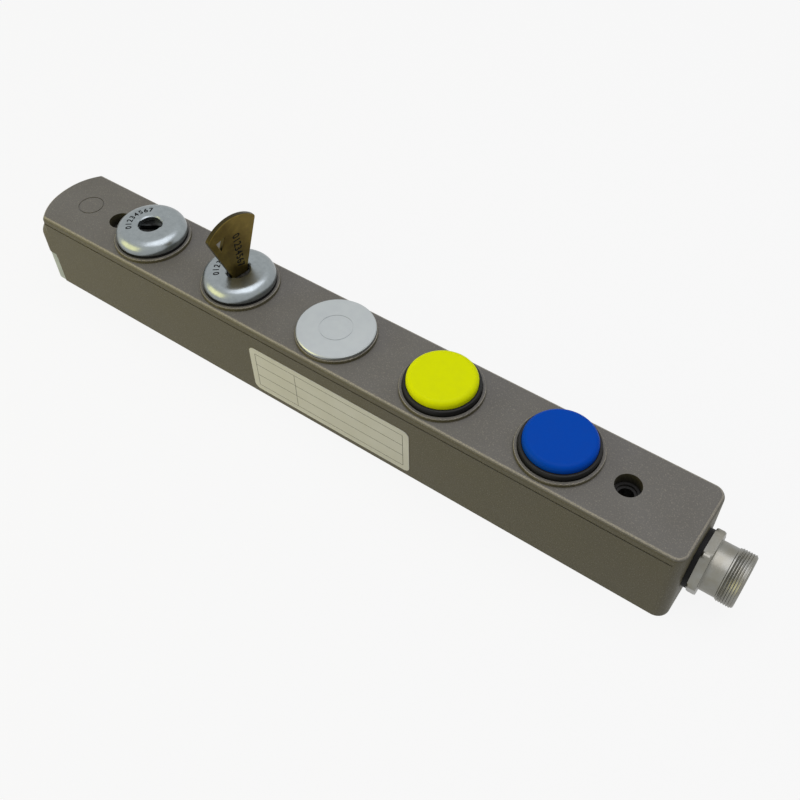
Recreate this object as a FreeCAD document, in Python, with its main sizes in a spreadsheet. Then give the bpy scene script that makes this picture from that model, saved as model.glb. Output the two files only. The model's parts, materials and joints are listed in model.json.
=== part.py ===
import FreeCAD, Part
import math
import os
import Sketcher

# Slim safety interlock switch: a cast housing with five round stations in a row
# (two key locks, a blanking plug, a yellow and a blue push button), a metal nose
# and a round threaded connector. Millimetres. Origin midway between the two
# mounting holes on the rear face, +X towards the connector, +Z out of the front.

doc = FreeCAD.newDocument("interlock_switch")
sheet = doc.addObject("Spreadsheet::Sheet", "Sizes")

SIZES = [
    ("body_width", 40.0),
    ("body_height", 42.0),
    ("hole_spacing", 273.0),
    ("left_margin", 33.8),
    ("right_margin", 32.5),
    ("corner_radius", 5.4),
    ("edge_radius", 1.8),
    ("groove_level", 4.3),
    ("groove_height", 0.8),
    ("groove_depth", 0.35),
    ("nose_reach", 7.7),
    ("nose_inset", 0.4),
    ("nose_corner", 4.5),
    ("nose_round", 8.0),
    ("nose_mark_radius", 6.2),
    ("nose_mark_inset", 20.6),
    ("mark_width", 0.45),
    ("mark_depth", 0.3),
    ("wall", 3.0),
    ("end_wall", 4.0),
    ("roof", 4.0),
    ("pillar_radius", 7.6),
    ("mount_hole_radius", 3.3),
    ("counterbore_radius", 5.5),
    ("counterbore_depth", 5.6),
    ("lip_radius", 4.4),
    ("lip_depth", 1.0),
    ("insert_height", 18.0),
    ("insert_depth", 0.3),
    ("insert_round", 3.0),
    ("fit_gap", 0.05),
    ("cover_gap", 0.15),
    ("cover_thick", 2.5),
    ("cover_gasket", 0.8),
    ("ledge", 1.4),
    ("cover_screw_radius", 1.5),
    ("cover_screw_head", 2.8),
    ("cover_head_depth", 1.4),
    ("cover_screw_length", 9.0),
    ("screw_boss_radius", 3.2),
    ("label_left", 39.3),
    ("label_length", 87.5),
    ("label_low", 2.8),
    ("label_height", 27.3),
    ("label_thick", 0.2),
    ("label_corner", 3.0),
    ("first_station", 22.1),
    ("station_pitch", 55.2),
    ("station_bore", 11.15),
    ("boss_rise", 1.8),
    ("rim_wall", 1.3),
    ("rim_gap", 0.4),
    ("thread_radius", 11.0),
    ("nut_flats", 27.0),
    ("nut_thick", 3.5),
    ("seal_thick", 2.8),
    ("seal_inset", 0.2),
    ("head_radius", 16.8),
    ("head_thick", 6.0),
    ("head_round", 4.8),
    ("keyhole_radius", 5.3),
    ("keyhole_lead", 0.6),
    ("keyhole_floor", 2.6),
    ("plug_radius", 6.5),
    ("plug_gap", 0.1),
    ("lock_length", 20.0),
    ("slot_width", 3.0),
    ("slot_length", 10.4),
    ("slot_depth", 22.0),
    ("cam_thick", 4.0),
    ("cam_radius", 9.0),
    ("tail_radius", 4.0),
    ("tail_length", 1.6),
    ("block_wall", 2.2),
    ("run_gap", 0.6),
    ("empty_plug_angle", 33.0),
    ("key_angle", 82.0),
    ("key_thick", 2.4),
    ("blade_half_width", 4.8),
    ("blade_length", 20.0),
    ("notch_depth", 1.6),
    ("bow_start", 0.2),
    ("bow_half_width", 13.3),
    ("bow_corner", 23.5),
    ("bow_arc", 18.0),
    ("bow_round", 1.6),
    ("bow_hole_outer", 9.1),
    ("bow_hole_inner", 4.3),
    ("bow_hole_foot", 7.1),
    ("bow_hole_top", 1.7),
    ("bow_hole_slant", 0.9),
    ("bow_hole_low", 8.0),
    ("blank_radius", 17.6),
    ("blank_thick", 1.5),
    ("blank_seal", 2.0),
    ("blank_stem", 14.0),
    ("blank_mark_radius", 7.6),
    ("bezel_wall", 1.15),
    ("bezel_top", 4.6),
    ("bezel_seal", 0.55),
    ("bezel_floor", 0.6),
    ("bezel_bore", 9.1),
    ("barrel_length", 16.0),
    ("barrel_lip", 1.2),
    ("lip_bore", 5.4),
    ("lens_radius", 15.1),
    ("lens_gap", 0.25),
    ("lens_top", 8.1),
    ("lens_thick", 3.65),
    ("lens_round", 2.3),
    ("lens_skirt", 1.6),
    ("lens_hollow", 0.8),
    ("lens_spigot", 8.0),
    ("plunger_radius", 8.8),
    ("plunger_top", 1.0),
    ("plunger_shoulder", 5.0),
    ("stem_radius", 4.5),
    ("stem_end", 20.6),
    ("clip_thick", 1.0),
    ("clip_radius", 6.6),
    ("spring_radius", 6.6),
    ("spring_wire", 0.6),
    ("spring_turns", 4.0),
    ("button_travel", 3.0),
    ("board_gap", 3.0),
    ("board_thick", 1.6),
    ("board_width", 22.0),
    ("board_margin", 13.0),
    ("contact_length", 24.0),
    ("contact_width", 20.0),
    ("standoff_radius", 2.6),
    ("board_screw_radius", 1.2),
    ("board_screw_head", 2.2),
    ("connector_bore", 10.1),
    ("connector_seal", 2.2),
    ("connector_seal_radius", 12.6),
    ("flange_flats", 25.5),
    ("flange_thick", 3.7),
    ("flange_turn", 26.0),
    ("barrel_radius", 10.6),
    ("barrel_run", 7.1),
    ("coupling_radius", 11.4),
    ("coupling_length", 7.0),
    ("coupling_chamfer", 0.6),
    ("socket_lip", 1.0),
    ("socket_radius", 9.5),
    ("rear_radius", 10.0),
    ("rear_length", 9.0),
    ("insert_face", 8.6),
    ("insert_radius", 9.3),
    ("insert_tail", 8.0),
    ("pin_radius", 0.75),
    ("pin_circle", 6.2),
    ("pin_count", 9.0),
    ("pin_reach", 5.6),
    ("pin_tail", 3.0),
    ("connector_nut_flats", 25.0),
    ("connector_nut_thick", 3.2),
]

for row, (name, number) in enumerate(SIZES, start=1):
    sheet.set(f"A{row}", name)
    sheet.set(f"B{row}", str(number))
    sheet.setAlias(f"B{row}", name)
doc.recompute()


def size(text):
    """The number that a size expression has now, in millimetres or degrees."""
    found = sheet.evalExpression(with_sheet(text))
    return float(getattr(found, "Value", found))


def with_sheet(text):
    """Puts the sheet's name before every word of an expression that is a size."""
    words = []
    word = ""
    for letter in str(text) + " ":
        if letter.isalnum() or letter in "_.":
            word += letter
            continue
        words.append(f"Sizes.{word}" if word in NAMES else word)
        words.append(letter)
        word = ""
    return "".join(words).strip()


NAMES = {name for name, number in SIZES}

# Places that several pieces share, worked out from the sizes above
LEFT = "(-hole_spacing / 2 - left_margin)"
RIGHT = "(hole_spacing / 2 + right_margin)"
HALF = "(body_width / 2)"
NOSE = "(-hole_spacing / 2 - left_margin - nose_reach)"
NOSE_HALF = "(body_width / 2 - nose_inset)"
INSERT_X = f"({LEFT} + insert_depth)"
AXIS_Z = "(body_height / 2)"
LENS_CUP = "(lens_radius + lens_gap)"
BEZEL_R = "(lens_radius + lens_gap + bezel_wall)"
RIM_BORE = "(lens_radius + lens_gap + bezel_wall + rim_gap)"
BOSS_R = "(lens_radius + lens_gap + bezel_wall + rim_gap + rim_wall)"
COVER_TOP = "(cover_thick + cover_gasket)"
BOARD_LOW = "(cover_thick + board_gap)"
BOARD_TOP = "(cover_thick + board_gap + board_thick)"
# Levels at a station, from the front face
ROOF = "(-roof)"
BLOCK_LOW = f"({BOARD_TOP} - body_height + fit_gap)"
HEAD_LOW = "seal_thick"
HEAD_TOP = "(seal_thick + head_thick)"
PLUG_TOP = "(seal_thick + head_thick - keyhole_floor)"
SLEEVE_END = "(-lock_length)"
TAIL_END = "(-lock_length - tail_length)"
CLIP_TOP = "(-barrel_length - run_gap / 4)"
parts = []


def station(index):
    """Place along X of a station, counted from the lock beside the nose."""
    return f"(-hole_spacing / 2 + first_station + {index} * station_pitch)"


def bind(item, name, text):
    item.setExpression(name, with_sheet(text))


def new_body(label):
    body = doc.addObject("PartDesign::Body", label)
    body.Label = label
    parts.append(body)
    return body


def plane(body, role):
    return [item for item in body.Origin.OriginFeatures if item.Role == role][0]


def new_sketch(body, role="XY_Plane", lift="0"):
    """A sketch on one of the body's own planes, lifted along its normal."""
    sketch = body.newObject("Sketcher::SketchObject", "Outline")
    sketch.AttachmentSupport = (plane(body, role), [""])
    sketch.MapMode = "FlatFace"
    bind(sketch, "AttachmentOffset.Base.z", lift)
    return sketch


def hold(sketch, kind, geometry, point, text):
    """Keeps a sketch point at a signed distance from the sketch's origin."""
    if text == "0":
        axis = -2 if kind == "DistanceX" else -1
        sketch.addConstraint(Sketcher.Constraint("PointOnObject", geometry, point, axis))
        return
    rule = Sketcher.Constraint(kind, -1, 1, geometry, point, size(text))
    number = sketch.addConstraint(rule)
    bind(sketch, f"Constraints[{number}]", text)


def arc_between(start, end, radius):
    """An outward arc from start to end, where the outline runs anticlockwise."""
    chord = end - start
    middle = (start + end) * 0.5
    rise = math.sqrt(radius ** 2 - (chord.Length / 2) ** 2)
    centre = middle + FreeCAD.Vector(-chord.y, chord.x, 0).normalize() * rise
    first = math.atan2(start.y - centre.y, start.x - centre.x)
    last = math.atan2(end.y - centre.y, end.x - centre.x)
    circle = Part.Circle(centre, FreeCAD.Vector(0, 0, 1), radius)
    return Part.ArcOfCircle(circle, first, last)


def outline(sketch, points):
    """A closed outline. Each point is (x, y), or (x, y, radius) where an arc follows."""
    base = sketch.GeometryCount
    count = len(points)
    here = [FreeCAD.Vector(size(point[0]), size(point[1]), 0) for point in points]
    for index, point in enumerate(points):
        start = here[index]
        end = here[(index + 1) % count]
        if len(point) == 3:
            sketch.addGeometry(arc_between(start, end, size(point[2])), False)
        else:
            sketch.addGeometry(Part.LineSegment(start, end), False)
    for index in range(count):
        after = base + (index + 1) % count
        sketch.addConstraint(Sketcher.Constraint("Coincident", base + index, 2, after, 1))
    for index, point in enumerate(points):
        hold(sketch, "DistanceX", base + index, 1, point[0])
        hold(sketch, "DistanceY", base + index, 1, point[1])
        if len(point) == 3:
            rule = Sketcher.Constraint("Radius", base + index, size(point[2]))
            number = sketch.addConstraint(rule)
            bind(sketch, f"Constraints[{number}]", point[2])


def ring(sketch, x, y, radius):
    """A full circle in a sketch."""
    number = sketch.GeometryCount
    centre = FreeCAD.Vector(size(x), size(y), 0)
    sketch.addGeometry(Part.Circle(centre, FreeCAD.Vector(0, 0, 1), size(radius)), False)
    hold(sketch, "DistanceX", number, 3, x)
    hold(sketch, "DistanceY", number, 3, y)
    rule = sketch.addConstraint(Sketcher.Constraint("Radius", number, size(radius)))
    bind(sketch, f"Constraints[{rule}]", radius)


def box_points(x0, x1, y0, y1):
    return [(x0, y0), (x1, y0), (x1, y1), (x0, y1)]


def pad(body, sketch, height):
    made = body.newObject("PartDesign::Pad", "Pad")
    made.Profile = sketch
    bind(made, "Length", height)
    return made


def pocket(body, sketch, depth):
    """Cuts from the sketch against its normal, and checks that something went."""
    doc.recompute()
    before = body.Shape.Volume
    made = body.newObject("PartDesign::Pocket", "Pocket")
    made.Profile = sketch
    bind(made, "Length", depth)
    doc.recompute()
    if body.Shape.Volume > before - 1e-6:
        raise RuntimeError(f"{body.Label}: a pocket removes nothing")
    return made


def turn(body, points):
    """Turns a closed outline of (radius, height) points about the body's Z axis."""
    sketch = new_sketch(body, "XZ_Plane")
    outline(sketch, points)
    made = body.newObject("PartDesign::Revolution", "Turned")
    made.Profile = sketch
    made.ReferenceAxis = (sketch, ["V_Axis"])
    made.Angle = 360
    return made


def round_edges(body, base, radius, chosen, chamfer=False):
    """Rounds or chamfers the edges of a feature that a test picks out."""
    doc.recompute()
    edges = base.Shape.Edges
    names = [f"Edge{i}" for i, edge in enumerate(edges, start=1) if chosen(edge)]
    if not names:
        raise RuntimeError(f"{body.Label}: no edge to round")
    kind = "Chamfer" if chamfer else "Fillet"
    made = body.newObject(f"PartDesign::{kind}", kind)
    made.Base = (base, names)
    bind(made, "Size" if chamfer else "Radius", radius)
    return made


def near(one, other):
    return abs(one - other) < 0.01


def is_vertical(edge):
    box = edge.BoundBox
    return near(box.XLength, 0) and near(box.YLength, 0)


def rim(edge, radius, level):
    """Is this edge a circle of that radius about the Z axis, at that level?"""
    box = edge.BoundBox
    return near(box.ZMin, level) and near(box.ZMax, level) and near(box.XMax, radius)


def at_station(body, index):
    bind(body, "Placement.Base.x", station(index))
    bind(body, "Placement.Base.z", "body_height")


def turn_about(body, text):
    """Turns a placed piece about its own upright axis."""
    body.Placement.Rotation = FreeCAD.Rotation(FreeCAD.Vector(0, 0, 1), size(text))


def hexagon(sketch, flats, angle="0"):
    points = []
    for corner in range(6):
        away = f"{flats} / 2 / cos(30)"
        points.append(
            (f"{away} * cos({angle} + {60 * corner})", f"{away} * sin({angle} + {60 * corner})")
        )
    outline(sketch, points)


def is_outer_corner(edge):
    return is_vertical(edge) and edge.BoundBox.XMin < size(LEFT) - 0.01


def make_nose(body, right, height):
    """The nose's plan, nearly as wide as the block behind it, with round corners."""
    plan = new_sketch(body)
    outline(plan, box_points(NOSE, right, f"-{NOSE_HALF}", NOSE_HALF))
    base = pad(body, plan, height)
    return round_edges(body, base, "nose_corner", is_outer_corner)


def round_nose(body):
    """Cuts the three upper edges of the nose round."""
    above = "body_height + 1"
    below = "body_height - nose_round"
    front = new_sketch(body, "XZ_Plane", f"{HALF} + 1")
    outline(front, [
        (f"{NOSE} + nose_round", "body_height", "nose_round"),
        (NOSE, below),
        (f"{NOSE} - 1", below),
        (f"{NOSE} - 1", above),
        (f"{NOSE} + nose_round", above),
    ])
    pocket(body, front, "body_width + 2")
    sides = new_sketch(body, "YZ_Plane", f"{LEFT} + 5")
    outline(sides, [
        (NOSE_HALF, below, "nose_round"),
        (f"{NOSE_HALF} - nose_round", "body_height"),
        (f"{NOSE_HALF} - nose_round", above),
        (f"{NOSE_HALF} + 1", above),
        (f"{NOSE_HALF} + 1", below),
    ])
    outline(sides, [
        (f"-{NOSE_HALF} + nose_round", "body_height", "nose_round"),
        (f"-{NOSE_HALF}", below),
        (f"-{NOSE_HALF} - 1", below),
        (f"-{NOSE_HALF} - 1", above),
        (f"-{NOSE_HALF} + nose_round", above),
    ])
    pocket(body, sides, "nose_reach + 6")


def make_housing():
    body = new_body("housing")
    make_outside(body)
    make_inside(body)
    make_openings(body)
    make_marks(body)


def make_outside(body):
    """A long block with a rounded nose and five raised rims on its front."""
    make_nose(body, f"{LEFT} + 4", "body_height")
    round_nose(body)
    block = new_sketch(body)
    outline(block, box_points(LEFT, RIGHT, f"-{HALF}", HALF))
    base = pad(body, block, "body_height")
    right = size(RIGHT)
    top = size("body_height")

    def end_corner(edge):
        return is_vertical(edge) and near(edge.BoundBox.XMin, right)

    base = round_edges(body, base, "corner_radius", end_corner)
    flat_end = right - size("corner_radius") - 0.01

    def front_edge(edge):
        box = edge.BoundBox
        return near(box.ZMin, top) and near(box.ZMax, top) and box.XMax > flat_end

    round_edges(body, base, "edge_radius", front_edge)
    grooves = new_sketch(body, "YZ_Plane", f"{RIGHT} + 1")
    low = "body_height - groove_level - groove_height / 2"
    high = "body_height - groove_level + groove_height / 2"
    outline(grooves, box_points(f"{HALF} - groove_depth", f"{HALF} + 1", low, high))
    outline(grooves, box_points(f"-{HALF} - 1", f"-{HALF} + groove_depth", low, high))
    pocket(body, grooves, f"{RIGHT} + 1 - {LEFT}")
    bosses = new_sketch(body, lift="body_height - roof")
    for index in range(5):
        ring(bosses, station(index), "0", BOSS_R)
    raised = pad(body, bosses, "roof + boss_rise")
    boss_top = size("body_height + boss_rise")

    def boss_edge(edge):
        return near(edge.BoundBox.ZMin, boss_top) and near(edge.BoundBox.ZMax, boss_top)

    round_edges(body, raised, "rim_wall / 3", boss_edge)
    rims = new_sketch(body, lift="body_height + boss_rise")
    for index in range(5):
        ring(rims, station(index), "0", RIM_BORE)
    pocket(body, rims, "boss_rise")


def both_holes(body, lift, radius):
    """A sketch of circles at the two mounting holes."""
    sketch = new_sketch(body, lift=lift)
    for side in ("-", ""):
        ring(sketch, f"{side}hole_spacing / 2", "0", radius)
    return sketch


def make_inside(body):
    """Hollows the block, and leaves pillars, screw posts and a ledge for the cover."""
    room = new_sketch(body, lift="body_height - roof")
    ends = (f"{LEFT} + end_wall", f"{RIGHT} - wall")
    outline(room, box_points(*ends, f"-{HALF} + wall", f"{HALF} - wall"))
    pocket(body, room, "body_height - roof")
    posts = new_sketch(body, lift=COVER_TOP)
    for x, y in screw_places():
        ring(posts, x, y, "screw_boss_radius")
    pad(body, posts, f"body_height - roof / 2 - {COVER_TOP}")
    seat = new_sketch(body, lift=COVER_TOP)
    outline(seat, cover_outline("0"))
    pocket(body, seat, COVER_TOP)
    pillars = both_holes(body, "cover_thick + fit_gap", "pillar_radius")
    pad(body, pillars, "body_height - roof / 2 - cover_thick - fit_gap")
    threads = new_sketch(body, lift=f"{COVER_TOP} + cover_screw_length")
    for x, y in screw_places():
        ring(threads, x, y, "cover_screw_radius + fit_gap")
    pocket(body, threads, "cover_screw_length")


def make_openings(body):
    """Bores the stations, the mounting holes, the outlet and the seat of the bare nose."""
    bores = new_sketch(body, lift="body_height")
    for index in range(5):
        ring(bores, station(index), "0", "station_bore")
    pocket(body, bores, "roof")
    pocket(body, both_holes(body, "body_height", "counterbore_radius"), "counterbore_depth")
    floor = "body_height - counterbore_depth"
    pocket(body, both_holes(body, floor, "lip_radius"), "lip_depth")
    pocket(body, both_holes(body, "body_height", "mount_hole_radius"), "body_height")
    under = new_sketch(body, "XZ_Plane", f"{HALF} + 1")
    outline(under, [
        (f"{NOSE} - 1", "-1"),
        (INSERT_X, "-1"),
        (INSERT_X, "insert_height - insert_round", "insert_round"),
        (f"{INSERT_X} - insert_round", "insert_height"),
        (f"{NOSE} - 1", "insert_height"),
    ])
    pocket(body, under, "body_width + 2")
    outlet = new_sketch(body, "YZ_Plane", f"{RIGHT} + 1")
    ring(outlet, "0", AXIS_Z, "connector_bore")
    pocket(body, outlet, "wall + 2")


def make_marks(body):
    """A plain ring cut into the front of the nose."""
    mark = new_sketch(body, lift="body_height")
    ring(mark, "-hole_spacing / 2 - nose_mark_inset", "0", "nose_mark_radius")
    ring(mark, "-hole_spacing / 2 - nose_mark_inset", "0", "nose_mark_radius - mark_width")
    pocket(body, mark, "mark_depth")


def cover_outline(gap):
    ends = (f"{LEFT} + end_wall - ledge + {gap}", f"{RIGHT} - wall + ledge - {gap}")
    side = f"{HALF} - wall + ledge - {gap}"
    return box_points(*ends, f"-({side})", side)


def screw_places():
    """Cover screws stand in pairs between the stations."""
    places = []
    for index in range(4):
        for side in ("-", ""):
            places.append((station(index + 0.5), f"{side}({HALF} - wall - 2.2)"))
    return places


def make_nose_insert():
    body = new_body("nose_insert")
    base = make_nose(body, f"{INSERT_X} - fit_gap", "insert_height - fit_gap")
    level = size("insert_height - fit_gap")
    back = size(f"{INSERT_X} - fit_gap")

    def upper_back(edge):
        box = edge.BoundBox
        return near(box.ZMin, level) and near(box.XMin, back)

    round_edges(body, base, "insert_round - fit_gap", upper_back)


def make_rear_cover():
    body = new_body("rear_cover")
    plate = new_sketch(body)
    outline(plate, cover_outline("cover_gap"))
    pad(body, plate, "cover_thick")
    holes = new_sketch(body, lift="cover_thick")
    for side in ("-", ""):
        ring(holes, f"{side}hole_spacing / 2", "0", "mount_hole_radius")
    for x, y in screw_places():
        ring(holes, x, y, "cover_screw_radius + 0.2")
    pocket(body, holes, "cover_thick")
    heads = new_sketch(body, lift="cover_head_depth")
    for x, y in screw_places():
        ring(heads, x, y, "cover_screw_head + 0.2")
    pocket(body, heads, "cover_head_depth")


def make_rear_gasket():
    body = new_body("rear_gasket")
    frame = new_sketch(body, lift="cover_thick + fit_gap")
    outline(frame, cover_outline("cover_gap"))
    ends = (f"{LEFT} + end_wall + 0.1", f"{RIGHT} - wall - 0.1")
    outline(frame, box_points(*ends, f"-{HALF} + wall + 0.1", f"{HALF} - wall - 0.1"))
    pad(body, frame, "cover_gasket - 2 * fit_gap")


def make_cover_screws():
    body = new_body("rear_cover_screws")
    heads = new_sketch(body, lift="0.1")
    for x, y in screw_places():
        ring(heads, x, y, "cover_screw_head")
    pad(body, heads, "cover_head_depth - 0.15")
    shanks = new_sketch(body, lift="0.6")
    for x, y in screw_places():
        ring(shanks, x, y, "cover_screw_radius")
    pad(body, shanks, f"{COVER_TOP} + cover_screw_length - 1.2")


def make_side_label():
    body = new_body("side_label")
    plate = new_sketch(body, "XZ_Plane", HALF)
    ends = ("-label_left", "label_length - label_left")
    outline(plate, box_points(*ends, "label_low", "label_low + label_height"))
    base = pad(body, plate, "label_thick")

    def corner(edge):
        box = edge.BoundBox
        return near(box.XLength, 0) and near(box.ZLength, 0)

    round_edges(body, base, "label_corner", corner)


def make_nut(label, index):
    body = new_body(label)
    sides = new_sketch(body, lift=f"{ROOF} - fit_gap - nut_thick")
    hexagon(sides, "nut_flats", "30")
    ring(sides, "0", "0", "thread_radius + fit_gap")
    pad(body, sides, "nut_thick")
    at_station(body, index)


def make_seal(label, index, outer, thick):
    body = new_body(label)
    inner = "thread_radius + 0.3"
    high = f"{thick} - fit_gap"
    turn(body, [(inner, "fit_gap"), (outer, "fit_gap"), (outer, high), (inner, high)])
    at_station(body, index)


def make_lock(number, index, angle):
    head = new_body(f"lock_{number}_head")
    hole = "keyhole_radius"
    inner = "plug_radius + plug_gap"
    shape = turn(head, [
        (inner, HEAD_LOW),
        ("head_radius", HEAD_LOW),
        ("head_radius", HEAD_TOP),
        (f"{hole} + keyhole_lead", HEAD_TOP),
        (hole, f"{HEAD_TOP} - keyhole_lead"),
        (hole, f"{PLUG_TOP} + plug_gap"),
        (inner, f"{PLUG_TOP} + plug_gap"),
    ])
    top = size(HEAD_TOP)
    low = size(HEAD_LOW)
    radius = size("head_radius")
    shape = round_edges(head, shape, "head_round", lambda edge: rim(edge, radius, top))
    round_edges(head, shape, "head_round / 8", lambda edge: rim(edge, radius, low))
    at_station(head, index)
    make_seal(f"lock_{number}_seal", index, f"{RIM_BORE} - seal_inset", "seal_thick")
    sleeve = new_body(f"lock_{number}_sleeve")
    turn(sleeve, [
        (inner, SLEEVE_END),
        ("thread_radius", SLEEVE_END),
        ("thread_radius", f"{HEAD_LOW} - fit_gap"),
        (inner, f"{HEAD_LOW} - fit_gap"),
    ])
    at_station(sleeve, index)
    make_nut(f"lock_{number}_nut", index)
    plug = new_body(f"lock_{number}_plug")
    turn(plug, [
        ("0", TAIL_END),
        ("tail_radius", TAIL_END),
        ("tail_radius", SLEEVE_END),
        ("plug_radius", SLEEVE_END),
        ("plug_radius", PLUG_TOP),
        ("0", PLUG_TOP),
    ])
    slot = new_sketch(plug, lift=PLUG_TOP)
    half = ("slot_length / 2", "slot_width / 2")
    outline(slot, box_points(f"-{half[0]}", half[0], f"-{half[1]}", half[1]))
    pocket(plug, slot, "slot_depth")
    at_station(plug, index)
    turn_about(plug, angle)
    cam = new_body(f"lock_{number}_cam")
    turn(cam, [
        ("0", f"{TAIL_END} - cam_thick"),
        ("cam_radius", f"{TAIL_END} - cam_thick"),
        ("cam_radius", f"{TAIL_END} - fit_gap"),
        ("0", f"{TAIL_END} - fit_gap"),
    ])
    flat = new_sketch(cam, lift=TAIL_END)
    outline(flat, box_points("tail_radius", "cam_radius + 1", "-cam_radius", "cam_radius"))
    pocket(cam, flat, "cam_thick / 2")
    at_station(cam, index)
    turn_about(cam, angle)
    block = new_body(f"lock_{number}_contact_block")
    shell = new_sketch(block, lift=BLOCK_LOW)
    ends = ("-contact_length / 2", "contact_length / 2")
    side = "cam_radius + run_gap + block_wall"
    outline(shell, box_points(*ends, f"-({side})", side))
    pad(block, shell, f"{TAIL_END} - {BLOCK_LOW}")
    well = new_sketch(block, lift=TAIL_END)
    ring(well, "0", "0", "cam_radius + run_gap")
    pocket(block, well, "cam_thick + run_gap / 2")
    at_station(block, index)


def make_key(index):
    body = new_body("key")
    sketch = new_sketch(body, "XZ_Plane", "-key_thick / 2")
    low = f"{HEAD_TOP} - bow_start"
    corner = f"{HEAD_TOP} + bow_corner"
    tip = f"{PLUG_TOP} - blade_length"
    wide = "blade_half_width"
    cut = "blade_half_width - notch_depth"
    points = [(f"-{wide} + 1.6", tip), (f"{wide} - 1.6", tip), (wide, f"{tip} + 2")]
    for notch in range(3):
        start = f"{tip} + {4 + 4.4 * notch}"
        points += [
            (wide, start),
            (cut, f"{start} + 1"),
            (cut, f"{start} + 2"),
            (wide, f"{start} + 3"),
        ]
    points += [
        (wide, low),
        ("bow_half_width", corner, "bow_arc"),
        ("-bow_half_width", corner),
        (f"-{wide}", low),
        (f"-{wide}", f"{tip} + 2"),
    ]
    outline(sketch, points)
    base = pad(body, sketch, "key_thick")
    level = size(corner)

    def bow_tip(edge):
        box = edge.BoundBox
        return near(box.XLength, 0) and near(box.ZMin, level) and near(box.ZMax, level)

    round_edges(body, base, "bow_round", bow_tip)
    hole = new_sketch(body, "XZ_Plane", "key_thick")
    outline(hole, [
        ("-bow_hole_foot", f"{corner} - bow_hole_low"),
        ("-bow_hole_inner", f"{corner} - bow_hole_top"),
        ("-bow_hole_outer", f"{corner} - bow_hole_top - bow_hole_slant"),
    ])
    pocket(body, hole, "2 * key_thick")
    at_station(body, index)
    turn_about(body, "key_angle")


def make_blanking_plug(index):
    body = new_body("blanking_plug")
    low = "blank_seal"
    top = "blank_seal + blank_thick"
    shape = turn(body, [
        ("0", "-blank_stem"),
        ("thread_radius", "-blank_stem"),
        ("thread_radius", low),
        ("blank_radius", low),
        ("blank_radius", top),
        ("0", top),
    ])
    level = size(top)
    radius = size("blank_radius")
    round_edges(body, shape, "0.4", lambda edge: rim(edge, radius, level), chamfer=True)
    mark = new_sketch(body, lift=top)
    ring(mark, "0", "0", "blank_mark_radius")
    ring(mark, "0", "0", "blank_mark_radius - 0.4")
    pocket(body, mark, "0.15")
    at_station(body, index)
    make_seal("blanking_seal", index, f"{RIM_BORE} - seal_inset", "blank_seal")
    make_nut("blanking_nut", index)


def make_button(colour, index):
    bezel = new_body(f"{colour}_bezel")
    shape = turn(bezel, [
        ("lip_bore", "-barrel_length"),
        ("thread_radius", "-barrel_length"),
        ("thread_radius", "bezel_seal"),
        (BEZEL_R, "bezel_seal"),
        (BEZEL_R, "bezel_top"),
        (LENS_CUP, "bezel_top"),
        (LENS_CUP, "bezel_seal + bezel_floor"),
        ("bezel_bore", "bezel_seal + bezel_floor"),
        ("bezel_bore", "-barrel_length + barrel_lip"),
        ("lip_bore", "-barrel_length + barrel_lip"),
    ])
    level = size("bezel_top")
    radius = size(BEZEL_R)
    round_edges(bezel, shape, "bezel_wall / 2", lambda edge: rim(edge, radius, level))
    at_station(bezel, index)
    make_seal(f"{colour}_seal", index, f"{BEZEL_R} - seal_inset", "bezel_seal")
    make_nut(f"{colour}_nut", index)
    lens = new_body(f"{colour}_lens")
    under = "lens_top - lens_thick"
    cap = turn(lens, [
        ("0", "plunger_top + fit_gap"),
        ("lens_spigot", "plunger_top + fit_gap"),
        ("lens_spigot", f"{under} + lens_hollow"),
        ("lens_radius - lens_skirt", f"{under} + lens_hollow"),
        ("lens_radius - lens_skirt", under),
        ("lens_radius", under),
        ("lens_radius", "lens_top"),
        ("0", "lens_top"),
    ])
    lens_level = size("lens_top")
    lens_radius = size("lens_radius")
    round_edges(lens, cap, "lens_round", lambda edge: rim(edge, lens_radius, lens_level))
    at_station(lens, index)
    plunger = new_body(f"{colour}_plunger")
    turn(plunger, [
        ("0", "-stem_end"),
        ("stem_radius", "-stem_end"),
        ("stem_radius", "-plunger_shoulder"),
        ("plunger_radius", "-plunger_shoulder"),
        ("plunger_radius", "plunger_top"),
        ("0", "plunger_top"),
    ])
    at_station(plunger, index)
    clip = new_body(f"{colour}_clip")
    turn(clip, [
        ("stem_radius + fit_gap", f"{CLIP_TOP} - clip_thick"),
        ("clip_radius", f"{CLIP_TOP} - clip_thick"),
        ("clip_radius", CLIP_TOP),
        ("stem_radius + fit_gap", CLIP_TOP),
    ])
    at_station(clip, index)
    make_spring(colour, index)
    block = new_body(f"{colour}_contact_block")
    top = "(-stem_end - button_travel - run_gap / 2)"
    shell = new_sketch(block, lift=BLOCK_LOW)
    ends = ("-contact_length / 2", "contact_length / 2")
    outline(shell, box_points(*ends, "-contact_width / 2", "contact_width / 2"))
    base = pad(block, shell, f"{top} - {BLOCK_LOW}")
    round_edges(block, base, "0.8", is_vertical)
    at_station(block, index)


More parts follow.
